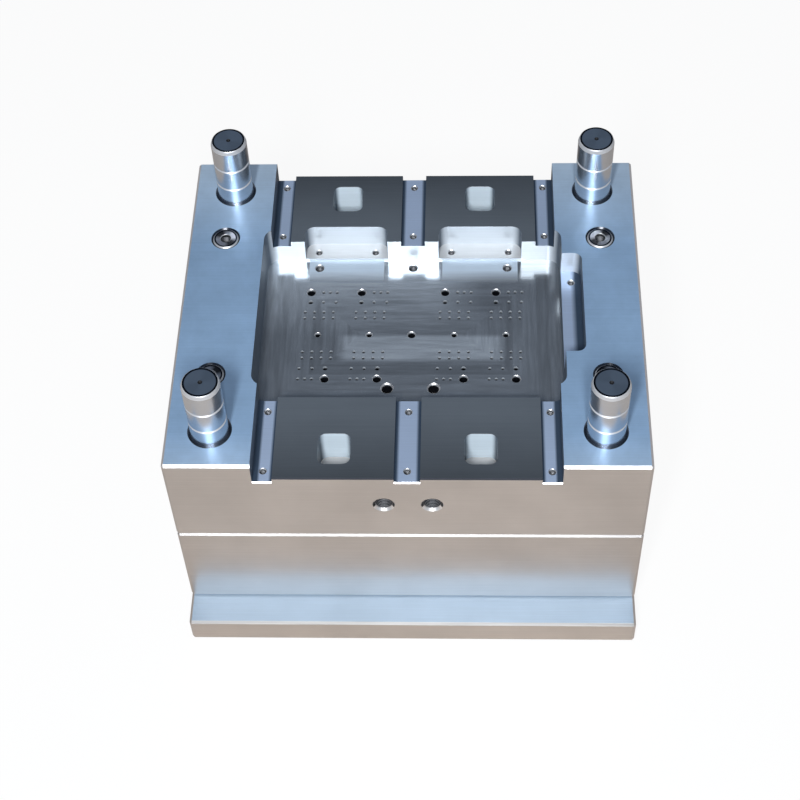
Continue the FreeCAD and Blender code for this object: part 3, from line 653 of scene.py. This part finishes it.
threads("insert_wall_hole_threads", wall_mouths, M8_THREAD, 12 * MM)
wedge_mouth = (123.9 * MM, 40.0 * MM, NOTCH_LEVEL - THREAD_START)
threads("wedge_hole_thread", [(wedge_mouth, DOWN)], M6_THREAD, 10 * MM)
port_y, port_z = PLATE_LOW[1] + 1.8 * MM, PARTING - 48.5 * MM
port_mouths = [((side * 17.7 * MM, port_y, port_z), (0, 1, 0)) for side in SIDES]
threads("water_port_threads", port_mouths, PIPE_THREAD, 13 * MM)
bolt_x, bolt_z = PLATE_HIGH[0] - 1.4 * MM, PARTING - 45 * MM
bolt_mouths = [((side * bolt_x, 0, bolt_z), (-side, 0, 0)) for side in SIDES]
threads("eyebolt_hole_threads", bolt_mouths, M16_THREAD, 24 * MM)
pin_top = PARTING - THREAD_START
pin_mouths = [((sx * RETURN_AXIS[0], sy * RETURN_AXIS[1], pin_top), DOWN)
              for sx in SIDES for sy in SIDES]
threads("return_pin_threads", pin_mouths, M8_IN_PIN, 16 * MM, "ejector_set")


# ------------------------------------------------------------------ floor, light and camera
WHITE = (1, 1, 1, 1)
FLOOR_HALF = 4.0
FLOOR_DROP = 0.2 * MM           # the floor lies this far below the clamp plate


def white_floor():
    """A beige table to the steel and the light, and a white floor with a shadow to the camera."""
    data = bpy.data.meshes.new("studio_floor")
    half = FLOOR_HALF
    corners = [(-half, -half, 0), (half, -half, 0), (half, half, 0), (-half, half, 0)]
    data.from_pydata(corners, [], [(0, 1, 2, 3)])
    floor = bpy.data.objects.new("studio_floor", data)
    floor.location.z = -FLOOR_DROP
    bpy.context.scene.collection.objects.link(floor)
    made = bpy.data.materials.new("studio_white")
    made.use_nodes = True
    t = Tree(made.node_tree)
    shader = made.node_tree.nodes["Principled BSDF"]
    rays = t.node("ShaderNodeLightPath").outputs
    t.join(t.mix(rays["Is Camera Ray"], TABLE_BEIGE, WHITE), shader.inputs["Base Color"])
    shader.inputs["Roughness"].default_value = 0.8
    shader.inputs["Specular IOR Level"].default_value = 0.0
    glow = t.node("ShaderNodeEmission")
    glow.inputs[0].default_value = WHITE
    seen = t.maths("MULTIPLY", rays["Is Camera Ray"], 0.92)
    blend = t.node("ShaderNodeMixShader")
    t.join(seen, blend.inputs[0])
    t.join(shader.outputs[0], blend.inputs[1])
    t.join(glow.outputs[0], blend.inputs[2])
    t.join(blend.outputs[0], made.node_tree.nodes["Material Output"].inputs[0])
    data.materials.append(made)


def studio_world():
    """A dim bluish room with paler walls, white only where the camera looks past it."""
    world = bpy.data.worlds.new("studio_world")
    bpy.context.scene.world = world
    world.use_nodes = True
    t = Tree(world.node_tree)
    back = world.node_tree.nodes["Background"]
    seen = t.node("ShaderNodeLightPath").outputs["Is Camera Ray"]
    height = t.split(t.node("ShaderNodeTexCoord").outputs["Generated"])[2]
    wall = t.ramp(t.maths("ABSOLUTE", height), 0.42, 0.26)
    t.join(t.mix(seen, t.mix(wall, ROOM_DIM, ROOM_WALL), WHITE), back.inputs["Color"])
    back.inputs["Strength"].default_value = 1.0


LIGHT_AIM = (0, 0, 0.15)
WINDOW_SIZE = (0.16, 0.45)
DAYLIGHT = (0.95, 0.98, 1.0)


def window(name, across, power):
    """A tall soft lamp in front of the part and above it."""
    place = (across, -1.36, 1.66)
    data = bpy.data.lights.new(name, "AREA")
    data.shape = "RECTANGLE"
    data.size, data.size_y = WINDOW_SIZE
    data.energy = power
    data.color = DAYLIGHT
    lamp = bpy.data.objects.new(name, data)
    lamp.location = place
    lamp.rotation_euler = (Vector(LIGHT_AIM) - Vector(place)).to_track_quat("-Z", "Y").to_euler()
    lamp.visible_camera = False
    bpy.context.scene.collection.objects.link(lamp)


CAMERA_TURN = (-0.06381306, 0.92919617, -0.04985593)       # yaw, pitch, roll
CAMERA_PLACE = (0.0419215, -0.8363405, PARTING + 1.0002051)
CAMERA_LENS = 77.2286


def camera():
    """A view from in front and well above, almost square to the long side."""
    yaw, pitch, roll = CAMERA_TURN
    forward = Vector((math.sin(yaw) * math.cos(pitch),
                      math.cos(yaw) * math.cos(pitch),
                      -math.sin(pitch)))
    level = Vector((math.cos(yaw), -math.sin(yaw), 0))
    rise = level.cross(forward)
    right = level * math.cos(roll) + rise * math.sin(roll)
    up = -level * math.sin(roll) + rise * math.cos(roll)
    data = bpy.data.cameras.new("camera")
    data.sensor_width = 36.0
    data.lens = CAMERA_LENS
    data.clip_start = 0.01
    made = bpy.data.objects.new("camera", data)
    turn = Matrix((right, up, -forward)).transposed().to_4x4()
    made.matrix_world = Matrix.Translation(CAMERA_PLACE) @ turn
    bpy.context.scene.collection.objects.link(made)
    bpy.context.scene.camera = made


white_floor()
studio_world()
window("window_left", -0.24, 24)
window("window_right", 0.15, 17)
camera()
bpy.context.scene.view_settings.view_transform = "Standard"
